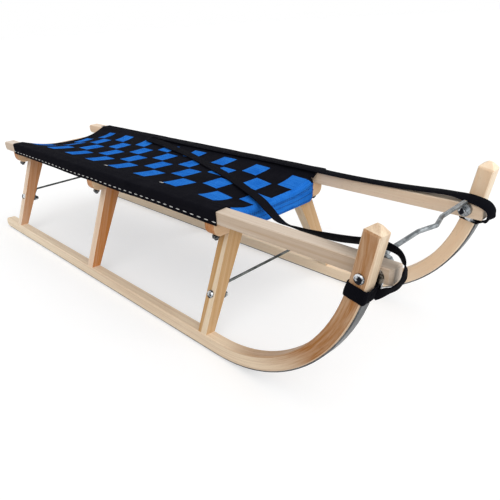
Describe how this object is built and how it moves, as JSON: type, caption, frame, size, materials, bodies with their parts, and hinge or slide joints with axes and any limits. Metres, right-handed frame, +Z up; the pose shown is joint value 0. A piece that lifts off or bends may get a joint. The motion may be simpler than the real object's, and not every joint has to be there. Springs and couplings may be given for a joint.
{
  "type": "wooden sled",
  "caption": "Wooden sled with bent horn runners, steel shoes, splayed legs, webbing seat stretched between two side rails, and a pull strap.",
  "frame": {"origin": "on the ground, under the middle of the sled's length and width, where the steel shoes rest", "axes": "+X forwards, the way the sled is towed; +Y to the sled's left; +Z up"},
  "size_m": [1.1145, 0.3276, 0.2739],
  "materials": {
    "beech": "satin clear coat",
    "shoe_steel": "drawn flat steel",
    "rod_steel": "zinc-plated rod",
    "zinc": "bright zinc plating",
    "seat_webbing": "woven squares in black and blue",
    "strap_webbing": "flat black webbing"
  },
  "bodies": {
    "root": {"crossbar": "rod_steel", "horn_bolt_left": "zinc", "horn_bolt_right": "zinc", "horn_spacer_left": "zinc", "horn_spacer_right": "zinc", "leg_bolt_front_left": "zinc", "leg_bolt_front_right": "zinc", "leg_bolt_rear_left": "zinc", "leg_bolt_rear_right": "zinc", "leg_front_left": "beech", "leg_front_right": "beech", "leg_middle_left": "beech", "leg_middle_right": "beech", "leg_rear_left": "beech", "leg_rear_right": "beech", "leg_stay_front": "rod_steel", "leg_stay_rear": "rod_steel", "pull_strap": "strap_webbing", "rail_left": "beech", "rail_right": "beech", "runner_left": "beech", "runner_right": "beech", "runner_shoe_left": "shoe_steel", "runner_shoe_right": "shoe_steel", "seat": "seat_webbing", "strap_wrap_left": "strap_webbing", "strap_wrap_right": "strap_webbing", "yoke_bolt_front_left": "zinc", "yoke_bolt_front_right": "zinc", "yoke_bolt_middle_left": "zinc", "yoke_bolt_middle_right": "zinc", "yoke_bolt_rear_left": "zinc", "yoke_bolt_rear_right": "zinc", "yoke_front": "beech", "yoke_middle": "beech", "yoke_rear": "beech"}
  },
  "joints": []
}
